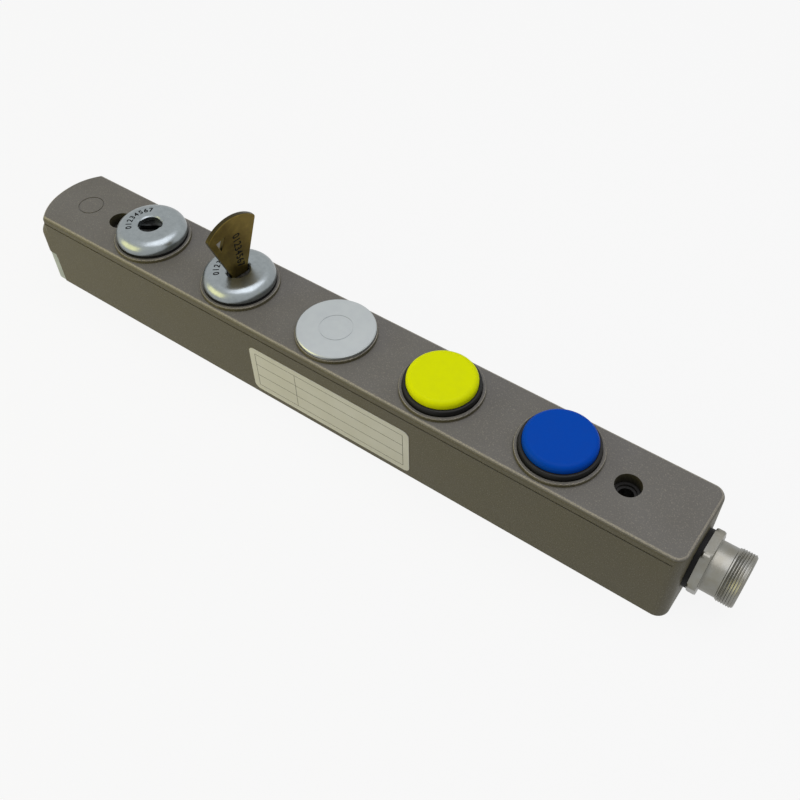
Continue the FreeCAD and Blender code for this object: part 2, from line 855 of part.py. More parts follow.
def make_spring(colour, index):
    """Return spring round the plunger's stem, seated on the barrel's lip."""
    low = "-barrel_length + barrel_lip + spring_wire + fit_gap"
    high = "-plunger_shoulder - spring_wire - fit_gap"
    helix = doc.addObject("Part::Helix", "Coil")
    bind(helix, "Radius", "spring_radius")
    bind(helix, "Height", f"({high}) - ({low})")
    bind(helix, "Pitch", f"(({high}) - ({low})) / spring_turns")
    wire = doc.addObject("Part::Circle", "Wire")
    bind(wire, "Radius", "spring_wire")
    bind(wire, "Placement.Base.x", "spring_radius")
    wire.Placement.Rotation = FreeCAD.Rotation(FreeCAD.Vector(1, 0, 0), 90)
    doc.recompute()
    spring = doc.addObject("Part::Sweep", f"{colour}_spring")
    spring.Label = f"{colour}_spring"
    spring.Sections = [wire]
    spring.Spine = (helix, [f"Edge{i}" for i in range(1, len(helix.Shape.Edges) + 1)])
    spring.Solid = True
    spring.Frenet = True
    bind(spring, "Placement.Base.x", station(index))
    bind(spring, "Placement.Base.z", f"body_height + {low}")
    parts.append(spring)


def make_board():
    board = new_body("circuit_board")
    plate = new_sketch(board, lift=BOARD_LOW)
    ends = (f"{station(0)} - board_margin", f"{station(4)} + board_margin")
    outline(plate, box_points(*ends, "-board_width / 2", "board_width / 2"))
    pad(board, plate, "board_thick")
    holes = new_sketch(board, lift=BOARD_TOP)
    for index in range(4):
        ring(holes, station(index + 0.5), "0", "board_screw_radius + 0.2")
    pocket(board, holes, "board_thick")
    posts = new_body("board_standoffs")
    feet = new_sketch(posts, lift="cover_thick + fit_gap")
    for index in range(4):
        ring(feet, station(index + 0.5), "0", "standoff_radius")
        ring(feet, station(index + 0.5), "0", "board_screw_radius + 0.05")
    pad(posts, feet, "board_gap - 2 * fit_gap")
    screws = new_body("board_screws")
    heads = new_sketch(screws, lift=f"{BOARD_TOP} + fit_gap")
    shanks = new_sketch(screws, lift="cover_thick + 0.3")
    for index in range(4):
        ring(heads, station(index + 0.5), "0", "board_screw_head")
        ring(shanks, station(index + 0.5), "0", "board_screw_radius")
    pad(screws, heads, "board_screw_radius")
    pad(screws, shanks, f"{BOARD_TOP} + 0.5 - cover_thick - 0.3")


def at_connector(body):
    """Stands a piece on the end face, its own Z axis along the connector."""
    turned = FreeCAD.Rotation(FreeCAD.Vector(0, 1, 0), 90)
    body.Placement = FreeCAD.Placement(FreeCAD.Vector(0, 0, 0), turned)
    bind(body, "Placement.Base.x", RIGHT)
    bind(body, "Placement.Base.z", AXIS_Z)


def make_connector():
    seal = new_body("connector_gasket")
    inner = "rear_radius + 0.3"
    turn(seal, [
        (inner, "fit_gap"),
        ("connector_seal_radius", "fit_gap"),
        ("connector_seal_radius", "connector_seal - fit_gap"),
        (inner, "connector_seal - fit_gap"),
    ])
    at_connector(seal)
    shell = new_body("connector_shell")
    flange = new_sketch(shell, lift="connector_seal")
    hexagon(flange, "flange_flats", "flange_turn")
    pad(shell, flange, "flange_thick")
    step = "(connector_seal + flange_thick + barrel_run)"
    end = "(connector_seal + flange_thick + barrel_run + coupling_length)"
    base = turn(shell, [
        ("insert_radius - socket_lip", "-rear_length"),
        ("rear_radius", "-rear_length"),
        ("rear_radius", "connector_seal + flange_thick / 2"),
        ("barrel_radius", "connector_seal + flange_thick / 2"),
        ("barrel_radius", step),
        ("coupling_radius", step),
        ("coupling_radius", end),
        ("insert_radius - socket_lip", end),
    ])
    level = size(end)
    radius = size("coupling_radius")
    round_edges(shell, base, "coupling_chamfer", lambda edge: rim(edge, radius, level), chamfer=True)
    socket = new_sketch(shell, lift=end)
    ring(socket, "0", "0", "socket_radius")
    pocket(shell, socket, f"{end} - connector_seal - fit_gap")
    tunnel = new_sketch(shell, lift=end)
    ring(tunnel, "0", "0", "insert_radius - socket_lip")
    pocket(shell, tunnel, f"{end} + rear_length + 1")
    at_connector(shell)
    insert = new_body("connector_insert")
    narrow = "insert_radius - socket_lip - fit_gap"
    turn(insert, [
        ("0", "-insert_tail"),
        (narrow, "-insert_tail"),
        (narrow, "connector_seal + 2 * fit_gap"),
        ("insert_radius", "connector_seal + 2 * fit_gap"),
        ("insert_radius", "insert_face"),
        ("0", "insert_face"),
    ])
    holes = new_sketch(insert, lift="insert_face")
    for x, y in pin_places():
        ring(holes, x, y, "pin_radius + fit_gap")
    pocket(insert, holes, "insert_face + insert_tail + 1")
    at_connector(insert)
    pins = new_body("connector_pins")
    rods = new_sketch(pins, lift="-insert_tail - pin_tail")
    for x, y in pin_places():
        ring(rods, x, y, "pin_radius")
    pad(pins, rods, "insert_tail + pin_tail + insert_face + pin_reach")
    at_connector(pins)
    nut = new_body("connector_nut")
    sides = new_sketch(nut, lift="-wall - fit_gap - connector_nut_thick")
    hexagon(sides, "connector_nut_flats")
    ring(sides, "0", "0", "rear_radius + fit_gap")
    pad(nut, sides, "connector_nut_thick")
    at_connector(nut)


def pin_places():
    """Contacts on one circle, and three more about the middle."""
    count = int(round(size("pin_count")))
    places = []
    for index in range(count):
        turned = 360 * index / count
        places.append((f"pin_circle * cos({turned})", f"pin_circle * sin({turned})"))
    for index in range(3):
        turned = 120 * index + 30
        places.append((f"pin_circle * 0.4 * cos({turned})", f"pin_circle * 0.4 * sin({turned})"))
    return places


make_housing()
make_nose_insert()
make_rear_cover()
make_rear_gasket()
make_cover_screws()
make_side_label()
make_lock(1, 0, "empty_plug_angle")
make_lock(2, 1, "key_angle")
make_key(1)
make_blanking_plug(2)
make_button("yellow", 3)
make_button("blue", 4)
make_board()
make_connector()
doc.recompute()

for item in doc.Objects:
    if "Invalid" in item.State or "Error" in item.State:
        raise RuntimeError(f"{item.Label} failed: {item.State}")
for item in parts:
    if item.Shape.isNull() or not item.Shape.isValid() or not item.Shape.Solids:
        raise RuntimeError(f"{item.Label} has no valid solid")

os.makedirs("parts", exist_ok=True)
for item in parts:
    item.Shape.exportStep(f"parts/{item.Label}.step")
    box = item.Shape.BoundBox
    print(f"{item.Label}: {len(item.Shape.Solids)} solids, {item.Shape.Volume:.0f} mm3, "
          f"x {box.XMin:.2f} {box.XMax:.2f} y {box.YMin:.2f} {box.YMax:.2f} "
          f"z {box.ZMin:.2f} {box.ZMax:.2f}")
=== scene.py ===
import json
import math

import bmesh
import bpy
from bpy.props import FloatProperty, FloatVectorProperty, IntProperty, PointerProperty, StringProperty
from mathutils import Matrix, Vector


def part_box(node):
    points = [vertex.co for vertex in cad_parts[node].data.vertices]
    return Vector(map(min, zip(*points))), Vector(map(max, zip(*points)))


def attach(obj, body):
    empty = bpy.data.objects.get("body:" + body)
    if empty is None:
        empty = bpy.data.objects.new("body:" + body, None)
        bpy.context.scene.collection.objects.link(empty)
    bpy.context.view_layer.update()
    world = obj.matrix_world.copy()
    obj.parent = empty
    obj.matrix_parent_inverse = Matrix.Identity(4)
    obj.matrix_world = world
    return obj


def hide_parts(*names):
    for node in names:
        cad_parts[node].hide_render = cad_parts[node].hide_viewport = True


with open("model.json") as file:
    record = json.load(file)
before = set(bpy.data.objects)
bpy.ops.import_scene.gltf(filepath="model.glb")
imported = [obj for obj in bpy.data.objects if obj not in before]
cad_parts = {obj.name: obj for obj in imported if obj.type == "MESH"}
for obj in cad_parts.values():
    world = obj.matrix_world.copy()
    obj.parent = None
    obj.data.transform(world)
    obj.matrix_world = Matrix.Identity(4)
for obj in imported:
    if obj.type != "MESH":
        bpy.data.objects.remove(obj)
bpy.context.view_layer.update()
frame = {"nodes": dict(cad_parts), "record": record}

bl_info = {
    "name": "Interlock switch finish",
    "version": (1, 0, 0),
    "blender": (4, 5, 0),
    "location": "View3D > Sidebar > Interlock",
    "description": "Finishes and fine detail for a slim safety interlock switch",
    "category": "Object",
}

MM = 0.001
NODES = frame["nodes"]
COLOURS = ("yellow", "blue")
# Where each lock's notch points, in degrees. The key stands in the second.
NOTCHES = {1: 33, 2: 82}
# Half the thickness of a figure's dark inlay, which lies on its face
INLAY = 0.012 * MM


# Colours, as sRGB hex values

def linear(code):
    """An sRGB hex colour as the linear RGBA that a shader wants."""
    channels = [int(code[i:i + 2], 16) / 255 for i in (1, 3, 5)]
    low = [c / 12.92 if c <= 0.04045 else ((c + 0.055) / 1.055) ** 2.4 for c in channels]
    return (*low, 1.0)


class FinishColours(bpy.types.PropertyGroup):
    """Colours that a user would change"""
    paint: StringProperty(name="Paint", description="Taupe grey powder paint", default="#615F5A")
    # Upright faces: a darker, browner copy of the paint, as painted shade
    paint_side_shade: StringProperty(name="Paint, upright", description="Browner, on upright faces",
                               default="#4D4830")
    # Pale specks in the paint, and the painted highlight on the tops of the edge roundings
    paint_specks_and_highlight: StringProperty(name="Paint, thin", description="Specks and thin paint on edges",
                                default="#9C9686")
    zinc: StringProperty(name="Lock metal", description="Satin zinc alloy", default="#91989A")
    disc: StringProperty(name="Blanking disc", description="Clear anodised aluminium", default="#AAAFAF")
    nickel: StringProperty(name="Connector", description="Satin nickel", default="#7F7D74")
    brass: StringProperty(name="Key", description="Dulled brass", default="#70602F")
    yellow: StringProperty(name="Yellow lens", description="Yellow moulding", default="#DDE700")
    blue: StringProperty(name="Blue lens", description="Blue moulding", default="#0046AF")
    film: StringProperty(name="Label film", description="Bare pale film", default="#D3D4D2")
    bare: StringProperty(name="Nose metal", description="Bare blasted metal", default="#A9AFA6")


class DetailSizes(bpy.types.PropertyGroup):
    """Sizes that a user would change"""
    thread_pitch: FloatProperty(name="Thread pitch", description="Distance from ridge to ridge",
                                default=1.0 * MM, unit="LENGTH")
    thread_depth: FloatProperty(name="Thread depth", description="Height of the ridge",
                                default=0.42 * MM, unit="LENGTH")
    digit_height: FloatProperty(name="Digit height", description="Height of the engraved figures",
                                default=2.8 * MM, unit="LENGTH")
    digit_radius: FloatProperty(name="Digit circle", description="Radius of the arc of figures",
                                default=9.8 * MM, unit="LENGTH")
    grain: FloatProperty(name="Paint grain", description="Size of the grain in the powder paint",
                         default=0.75 * MM, unit="LENGTH")
    segments: IntProperty(name="Segments", description="Facets round a turned piece", default=128)


# Small makers

def add_node(tree, kind, settings=None, **inputs):
    """Adds a node, sets its own settings and feeds its inputs. The setting stops fills a colour ramp."""
    node = tree.nodes.new(kind)
    for name, value in (settings or {}).items():
        if name != "stops":
            setattr(node, name, value)
            continue
        marks = node.color_ramp.elements
        while len(marks) < len(value):
            marks.new(0.5)
        for mark, (place, tone) in zip(marks, value):
            mark.position = place
            mark.color = linear(tone) if isinstance(tone, str) else (tone, tone, tone, 1)
    feed(tree, node, **inputs)
    return node


def feed(tree, node, **inputs):
    """Sets or links inputs by name or identifier. A node given as a value stands for its first output in
    use, and a hex colour for its linear one."""
    for name, value in inputs.items():
        wanted = name.replace("_", " ").lower()
        socket = next(s for s in node.inputs if s.identifier == name or s.name.lower() == wanted)
        if isinstance(value, bpy.types.Node):
            value = next(s for s in value.outputs if s.enabled)
        if isinstance(value, bpy.types.NodeSocket):
            tree.links.new(value, socket)
        else:
            socket.default_value = linear(value) if isinstance(value, str) else value


def new_material(name, **shader):
    """A material with one Principled shader. Returns it, its tree and the shader."""
    material = bpy.data.materials.new(name)
    material.use_nodes = True
    tree = material.node_tree
    tree.nodes.clear()
    shade = add_node(tree, "ShaderNodeBsdfPrincipled", **shader)
    add_node(tree, "ShaderNodeOutputMaterial", Surface=shade)
    return material, tree, shade


def object_place(tree, stretch=(1, 1, 1)):
    """The place on the object in metres, stretched if asked."""
    coordinates = add_node(tree, "ShaderNodeTexCoord")
    return add_node(tree, "ShaderNodeMapping", Vector=coordinates.outputs["Object"], Scale=stretch)


def facing(tree, axis):
    """How squarely the surface faces along one axis of the object, either way, from 0 to 1."""
    coordinates = add_node(tree, "ShaderNodeTexCoord")
    parts = add_node(tree, "ShaderNodeSeparateXYZ", Vector=coordinates.outputs["Normal"])
    return add_node(tree, "ShaderNodeMath", {"operation": "ABSOLUTE"}, Value=parts.outputs[axis])


def blend(tree, factor, stops, one, other):
    """A colour from one to the other, by the share that the stops give for the factor."""
    share = add_node(tree, "ShaderNodeValToRGB", {"stops": stops}, Fac=factor)
    return add_node(tree, "ShaderNodeMix", {"data_type": "RGBA"}, Factor_Float=share, A_Color=one,
                    B_Color=other)


def coat(tree, shade, colour, sheen, low, high, relief, depth, strength):
    """Gives a shader its colour, a roughness from low to high over the sheen's noise, and the relief's noise
    as a bump of a real depth in metres."""
    rough = add_node(tree, "ShaderNodeMapRange", Value=sheen, To_Min=low, To_Max=high)
    raised = add_node(tree, "ShaderNodeBump", Height=relief, Distance=depth, Strength=strength)
    feed(tree, shade, Base_Color=colour, Roughness=rough, Normal=raised)


def bore_shade(tree, place):
    """How much painted shade darkens the screw holes: 0.35 near the rim, 0.95 deep down, and 0 outside them.
    """
    spacing = frame["record"]["mounts"][0]["dims"]["spacing_x_mm"] * MM
    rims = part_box("housing")[1].z
    bore, shallow, deep = 5.53 * MM, rims - 2.2 * MM, rims - 7.5 * MM
    at = add_node(tree, "ShaderNodeSeparateXYZ", Vector=place)
    side = add_node(tree, "ShaderNodeMath", {"operation": "ABSOLUTE"}, Value=at.outputs["X"])
    off = add_node(tree, "ShaderNodeCombineXYZ", X=side, Y=at.outputs["Y"])
    away = add_node(tree, "ShaderNodeVectorMath", {"operation": "DISTANCE"}, Vector=off,
                    Vector_001=(spacing / 2, 0, 0))
    inside = add_node(tree, "ShaderNodeMath", {"operation": "LESS_THAN"}, Value=away, Value_001=bore)
    dark = add_node(tree, "ShaderNodeMapRange", Value=at.outputs["Z"], From_Min=shallow, From_Max=deep,
                    To_Min=0.35, To_Max=0.95)
    return add_node(tree, "ShaderNodeMath", {"operation": "MULTIPLY"}, Value=inside, Value_001=dark)


# Finishes
# The finest real grain is under 0.1 mm and wouldn't show, so it is drawn as coarse as it needs to show.

def powder_paint(name, base, upright, light):
    """Powder paint on a die casting: satin, with pale specks. Upright faces get a darker, browner copy of the
    paint as painted shade, the tops of the edge roundings a paler copy as painted highlight, and the screw
    holes painted shade. The powder's own grain is finer and is drawn coarser."""
    material, tree, shade = new_material(name, Roughness=0.5, Specular_IOR_Level=0.4)
    place = object_place(tree)
    grain = bpy.context.scene.switch_sizes.grain
    fine = add_node(tree, "ShaderNodeTexNoise", Vector=place, Scale=1 / grain, Detail=4.0, Roughness=0.6)
    specks = add_node(tree, "ShaderNodeTexNoise", Vector=place, Scale=1 / (0.62 * grain), Detail=1.0)
    broad = add_node(tree, "ShaderNodeTexNoise", Vector=place, Scale=1 / (22 * MM), Detail=2.0)
    up = facing(tree, "Z")
    # Upright faces get the darker, browner copy of the paint: painted shade
    body = blend(tree, up, [(0.25, 0.0), (0.75, 1.0)], upright, base)
    shaded = blend(tree, broad, [(0.3, 0.0), (0.7, 0.3)], body, "#4B473D")
    speckled = blend(tree, specks, [(0.58, 0.0), (0.74, 0.38)], shaded, light)
    # A paler copy of the paint on the tops of the edge roundings, chosen by facing: a painted highlight
    thin = blend(tree, specks, [(0.35, 0.35), (0.65, 1.0)], shaded, light)
    painted = blend(tree, up, [(0.66, 0.0), (0.80, 1.0), (0.93, 1.0), (0.985, 0.0)], speckled, thin)
    # Painted shade deep in the screw holes, near black
    bore_shaded = add_node(tree, "ShaderNodeMix", {"data_type": "RGBA"}, Factor_Float=bore_shade(tree, place),
                     A_Color=painted, B_Color="#0F0E0C")
    coat(tree, shade, bore_shaded, fine, 0.44, 0.62, fine, 0.045 * MM, 0.9)
    return material


def cast_zinc(name, colour):
    """Tumbled zinc alloy: a satin metal with a soft grain and faint handling marks."""
    material, tree, shade = new_material(name, Metallic=1.0, Roughness=0.3)
    place = object_place(tree)
    grain = add_node(tree, "ShaderNodeTexNoise", Vector=place, Scale=1 / (0.35 * MM), Detail=3.0)
    marks = add_node(tree, "ShaderNodeTexNoise", Vector=place, Scale=1 / (2.4 * MM), Detail=4.0,
                     Roughness=0.7)
    handled = blend(tree, marks, [(0.35, 0.0), (0.75, 0.35)], colour, "#62676A")
    coat(tree, shade, handled, marks, 0.22, 0.38, grain, 0.012 * MM, 0.7)
    return material


def turned_metal(name, colour, rough, grain=0.18):
    """Turned or plated metal: satin, with the fine marks of its making, drawn coarser than they are, and a
    faint change of tone."""
    material, tree, shade = new_material(name, Metallic=1.0, Roughness=rough)
    place = object_place(tree)
    marks = add_node(tree, "ShaderNodeTexNoise", Vector=place, Scale=1 / (grain * MM), Detail=2.0)
    soft = add_node(tree, "ShaderNodeTexNoise", Vector=place, Scale=1 / (5 * MM), Detail=2.0)
    tone = blend(tree, soft, [(0.35, 0.0), (0.7, 0.25)], colour, "#9BA0A4")
    coat(tree, shade, tone, marks, rough - 0.06, rough + 0.12, marks, 0.006 * MM, 0.6)
    return material


def dull_brass(name, colour):
    """Stamped brass gone dull: brown patches over a yellow metal, scratches, and darker faces where they
    turn away from X, on the key's edges.
    """
    material, tree, shade = new_material(name, Metallic=1.0, Roughness=0.42)
    patches = add_node(tree, "ShaderNodeTexNoise", Vector=object_place(tree), Scale=1 / (6 * MM), Detail=4.0,
                       Roughness=0.65)
    scratches = add_node(tree, "ShaderNodeTexNoise", Vector=object_place(tree, (1, 6, 1)),
                         Scale=1 / (0.5 * MM), Detail=3.0)
    stops = [(0.30, "#62522A"), (0.55, colour), (0.80, "#85723B")]
    tone = add_node(tree, "ShaderNodeValToRGB", {"stops": stops}, Fac=patches)
    # Darker on faces turned away from X, which are the key's edges
    darker_on_edges = blend(tree, facing(tree, "X"), [(0.45, 1.0), (0.85, 0.0)], tone, "#37311B")
    coat(tree, shade, darker_on_edges, patches, 0.30, 0.52, scratches, 0.012 * MM, 0.6)
    return material


def moulded(name, colour, rough, grain=0.25):
    """Moulded plastic or rubber: one body colour, a spark texture, drawn coarser than it is, and slight
    changes of sheen."""
    material, tree, shade = new_material(name, Roughness=rough, IOR=1.5, Specular_IOR_Level=0.22)
    place = object_place(tree)
    fine = add_node(tree, "ShaderNodeTexNoise", Vector=place, Scale=1 / (grain * MM), Detail=2.0)
    broad = add_node(tree, "ShaderNodeTexNoise", Vector=place, Scale=1 / (9 * MM), Detail=2.0)
    full = linear(colour)
    darker = (*(channel * 0.86 for channel in full[:3]), 1)
    tone = blend(tree, broad, [(0.3, 0.0), (0.7, 0.5)], full, darker)
    coat(tree, shade, tone, fine, rough - 0.05, rough + 0.08, fine, 0.008 * MM, 0.5)
    return material


def lens_plastic(name, colour):
    """Dyed acrylic lens with a satin face: a deep even colour, a little dust and little shine."""
    material, tree, shade = new_material(name, Roughness=0.42, IOR=1.49, Specular_IOR_Level=0.05)
    place = object_place(tree)
    fine = add_node(tree, "ShaderNodeTexNoise", Vector=place, Scale=1 / (0.3 * MM), Detail=2.0)
    dust = add_node(tree, "ShaderNodeTexNoise", Vector=place, Scale=1 / (3.5 * MM), Detail=5.0, Roughness=0.7)
    full = linear(colour)
    pale = (*(channel * 0.92 + 0.003 for channel in full[:3]), 1)
    tone = blend(tree, dust, [(0.4, 0.0), (0.8, 0.6)], full, pale)
    coat(tree, shade, tone, dust, 0.36, 0.52, fine, 0.006 * MM, 0.5)
    return material


def printed_film(name, colour):
    """Matt polyester label film: pale, faintly stained, a little uneven over the grain of the paint."""
    material, tree, shade = new_material(name, Roughness=0.5, IOR=1.5)
    place = object_place(tree)
    under = add_node(tree, "ShaderNodeTexNoise", Vector=place, Scale=1 / (1.4 * MM), Detail=3.0)
    stain = add_node(tree, "ShaderNodeTexNoise", Vector=place, Scale=1 / (14 * MM), Detail=3.0)
    tone = blend(tree, stain, [(0.35, 0.0), (0.75, 0.4)], colour, "#C2C2B8")
    coat(tree, shade, tone, under, 0.42, 0.58, under, 0.01 * MM, 0.6)
    return material


def blasted_metal(name, colour):
    """Bead-blasted metal: an even, fine-pitted matt face with a slight green cast."""
    material, tree, shade = new_material(name, Metallic=0.85, Roughness=0.55)
    place = object_place(tree)
    pits = add_node(tree, "ShaderNodeTexNoise", Vector=place, Scale=1 / (0.4 * MM), Detail=4.0,
                    Roughness=0.65)
    broad = add_node(tree, "ShaderNodeTexNoise", Vector=place, Scale=1 / (7 * MM), Detail=3.0)
    tone = blend(tree, broad, [(0.3, 0.0), (0.7, 0.5)], colour, "#8D938A")
    coat(tree, shade, tone, pits, 0.45, 0.68, pits, 0.02 * MM, 0.8)
    return material


def board_mask(name):
    """Solder mask on woven laminate: glossy green, mottled by the weave."""
    material, tree, shade = new_material(name, Roughness=0.3, IOR=1.5)
    weave = add_node(tree, "ShaderNodeTexNoise", Vector=object_place(tree), Scale=1 / (0.6 * MM), Detail=2.0)
    tone = add_node(tree, "ShaderNodeValToRGB", {"stops": [(0.3, "#0E4A2A"), (0.7, "#1A6B3E")]}, Fac=weave)
    rough = add_node(tree, "ShaderNodeMapRange", Value=weave, To_Min=0.24, To_Max=0.40)
    feed(tree, shade, Base_Color=tone, Roughness=rough)
    return material


def make_finishes():
    """All finishes of the switch by a short key."""
    tones = bpy.context.scene.switch_colours
    return {
        "paint": powder_paint("powder_paint", tones.paint, tones.paint_side_shade, tones.paint_specks_and_highlight),
        "zinc": cast_zinc("tumbled_zinc", tones.zinc),
        # Pale and even, with a soft wide gleam
        "disc": turned_metal("anodised_disc", tones.disc, 0.34),
        # Warmer and darker, with a coarser satin
        "nickel": turned_metal("satin_nickel", tones.nickel, 0.36, 0.3),
        # Cool and rather bright
        "steel": turned_metal("plated_steel", "#9DA0A2", 0.3),
        # Nearly black: the plug's steel painted as the shade deep in its slot
        "steel_in_painted_shade": turned_metal("plug_steel_painted_as_slot_shade", "#1C1C1B", 0.45),
        "brass": dull_brass("dull_key_brass", tones.brass),
        # Bright yellow metal
        "contacts": turned_metal("gilt_contacts", "#C8A35A", 0.25),
        "yellow": lens_plastic("yellow_acrylic", tones.yellow),
        "blue": lens_plastic("blue_acrylic", tones.blue),
        # Black with a satin sheen
        "black": moulded("black_nylon", "#141414", 0.42),
        # Blacker and matt
        "rubber": moulded("black_rubber", "#0B0B0B", 0.6, 0.4),
        "film": printed_film("pale_label_film", tones.film),
        "bare": blasted_metal("blasted_nose_metal", tones.bare),
        # Matt black paint in engraved figures, and a thin dark print
        "ink": moulded("engraving_paint", "#111110", 0.6),
        "hairline": moulded("printed_hairline", "#4A4942", 0.6),
        "board": board_mask("green_solder_mask"),
    }


FINISHES = {}


def finish(key):
    """A finish by its key. The first call makes them all."""
    if not FINISHES:
        FINISHES.update(make_finishes())
    return FINISHES[key]


def dress(node, key):
    """Gives a CAD node its finish."""
    materials = NODES[node].data.materials
    if not materials:
        materials.append(finish(key))
    for index in range(len(materials)):
        materials[index] = finish(key)


# Mesh makers

def to_object(name, mesh, key, sharp=32):
    """An object at the origin with a finish, smooth but for its sharp edges."""
    mesh.materials.clear()
    mesh.materials.append(finish(key))
    for face in mesh.polygons:
        face.use_smooth = True
        face.material_index = 0
    mesh.set_sharp_from_angle(angle=math.radians(sharp))
    made = bpy.data.objects.new(name, mesh)
    bpy.context.scene.collection.objects.link(made)
    return made


def keep_flat(mesh, smooth=35, start=28):
    """Sets the normals by hand. Level faces, broad upright ones and the outer sides stay flat. A rounding
    starts with the normal of the flat that it leaves, and the rest is averaged over neighbours within the
    smooth angle. Both angles are in degrees, and a speck of a face doesn't count."""
    straight = 0.99995
    broad = 20 * MM * MM
    beside = 0.1 * MM
    speck = 1e-13
    sides = [[pick(vertex.co[axis] for vertex in mesh.vertices) for pick in (min, max)] for axis in (0, 1)]

    def is_flat(face):
        if abs(face.normal.z) > straight:
            return True
        for axis in (0, 1):
            off = min(abs(face.center[axis] - side) for side in sides[axis])
            if abs(face.normal[axis]) > straight and (face.area > broad or off < beside):
                return True
        return False

    around = {}
    for face in mesh.polygons:
        flat, size = is_flat(face), face.area
        if size > speck:
            for vertex in face.vertices:
                around.setdefault(vertex, []).append((face.normal.copy(), size, flat))
    near, close = math.cos(math.radians(smooth)), math.cos(math.radians(start))
    normals = [Vector((0, 0, 1))] * len(mesh.loops)
    for face in mesh.polygons:
        for loop in face.loop_indices:
            met = around.get(mesh.loops[loop].vertex_index, [])
            held = [item for item in met if item[0].dot(face.normal) > near]
            flats = [normal for normal, size, flat in held if flat and normal.dot(face.normal) > close]
            if flats:
                normals[loop] = max(flats, key=face.normal.dot)
            elif held:
                normals[loop] = sum((normal * size for normal, size, flat in held), Vector()).normalized()
    for edge in mesh.edges:
        edge.use_edge_sharp = True
    mesh.normals_split_custom_set(normals)


def ring_mesh(name, rows, segments, closed=True):
    """Skins rings of points about Z. A row is (height, radius), and a radius may depend on the angle."""
    mesh = bpy.data.meshes.new(name)
    body = bmesh.new()
    rings = []
    for height, radius in rows:
        ring = []
        for step in range(segments):
            angle = 2 * math.pi * step / segments
            reach = radius(angle) if callable(radius) else radius
            ring.append(body.verts.new((reach * math.cos(angle), reach * math.sin(angle), height)))
        rings.append(ring)
    above = rings[1:] + rings[:1] if closed else rings[1:]
    for low, high in zip(rings, above):
        for step in range(segments):
            after = (step + 1) % segments
            body.faces.new((low[step], low[after], high[after], high[step]))
    if not closed:
        body.faces.new(rings[0][::-1])
        body.faces.new(rings[-1])
    bmesh.ops.recalc_face_normals(body, faces=body.faces)
    body.to_mesh(mesh)
    body.free()
    return mesh


def quarter(centre_r, centre_z, radius, first, last, steps):
    """Rows along an arc of a profile, angles in degrees from the outward direction."""
    rows = []
    for step in range(steps + 1):
        angle = math.radians(first + (last - first) * step / steps)
        rows.append((centre_z + radius * math.sin(angle), centre_r + radius * math.cos(angle)))
    return rows


def centre_of(node):
    """The middle of a CAD node's box."""
    low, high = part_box(node)
    return (low + high) / 2


def settle(piece, body, slot, *replaced):
    """Rides a finished piece on its body and hides the CAD nodes that it stands for.
    Its slot is not used.
    """
    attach(piece, body)
    if replaced:
        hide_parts(*replaced)


def text_mesh(name, figures, height):
    """Figures as a thin mesh, centred, lying in the XY plane. Shifted copies make the strokes bold."""
    # A figure's height, as a share of the font's size
    share = 0.72
    curve = bpy.data.curves.new(name, "FONT")
    curve.body = figures
    curve.size = height / share
    curve.extrude = INLAY
    curve.align_x = "CENTER"
    curve.align_y = "CENTER"
    holder = bpy.data.objects.new(name, curve)
    bpy.context.scene.collection.objects.link(holder)
    bpy.context.view_layer.update()
    depsgraph = bpy.context.evaluated_depsgraph_get()
    mesh = bpy.data.meshes.new_from_object(holder.evaluated_get(depsgraph))
    bpy.data.objects.remove(holder)
    bold = height * 0.028
    shifts = [(x, y) for x in (-1, 0, 1) for y in (-0.8, 0.8)]
    return join_meshes(name, [(mesh, Matrix.Translation((x * bold, y * bold, 0))) for x, y in shifts])


def join_meshes(name, placed):
    """One mesh from (mesh, matrix) pairs."""
    body = bmesh.new()
    for mesh, matrix in placed:
        part = mesh.copy()
        part.transform(matrix)
        body.from_mesh(part)
        bpy.data.meshes.remove(part)
    mesh = bpy.data.meshes.new(name)
    body.to_mesh(mesh)
    body.free()
    return mesh


def figures_on_arc(name, figures, centre, radius, first, last, top, body):
    """Plain figures along an arc, their heads outwards, as a thin dark inlay."""
    height = bpy.context.scene.switch_sizes.digit_height
    placed = []
    for index, figure in enumerate(figures):
        angle = math.radians(first + (last - first) * index / (len(figures) - 1))
        spot = Vector((centre.x + radius * math.cos(angle), centre.y + radius * math.sin(angle), top + INLAY))
        turn = Matrix.Rotation(angle - math.pi / 2, 4, "Z")
        placed.append((text_mesh(name, figure, height), Matrix.Translation(spot) @ turn))
    settle(to_object(name, join_meshes(name, placed), "ink"), body, None)


def bevelled_copy(name, node, width, key, body, slot):
    """A copy of a CAD node with its sharp edges softened, which stands for the node."""
    merge, level, sharp = 1e-6, math.radians(1), math.radians(35)
    mesh = NODES[node].data.copy()
    work = bmesh.new()
    work.from_mesh(mesh)
    bmesh.ops.remove_doubles(work, verts=work.verts, dist=merge)
    bmesh.ops.dissolve_limit(work, angle_limit=level, verts=work.verts, edges=work.edges)
    work.to_mesh(mesh)
    work.free()
    mesh.name = name
    made = to_object(name, mesh, key)
    bevel = made.modifiers.new("Softened", "BEVEL")
    bevel.width = width
    bevel.segments = 3
    bevel.limit_method = "ANGLE"
    bevel.angle_limit = sharp
    plain(made)
    settle(made, body, slot, node)


def plain(made):
    """Turns an object's modifiers into mesh."""
    bpy.context.view_layer.update()
    depsgraph = bpy.context.evaluated_depsgraph_get()
    mesh = bpy.data.meshes.new_from_object(made.evaluated_get(depsgraph))
    made.modifiers.clear()
    made.data = mesh


# Geometry node trees

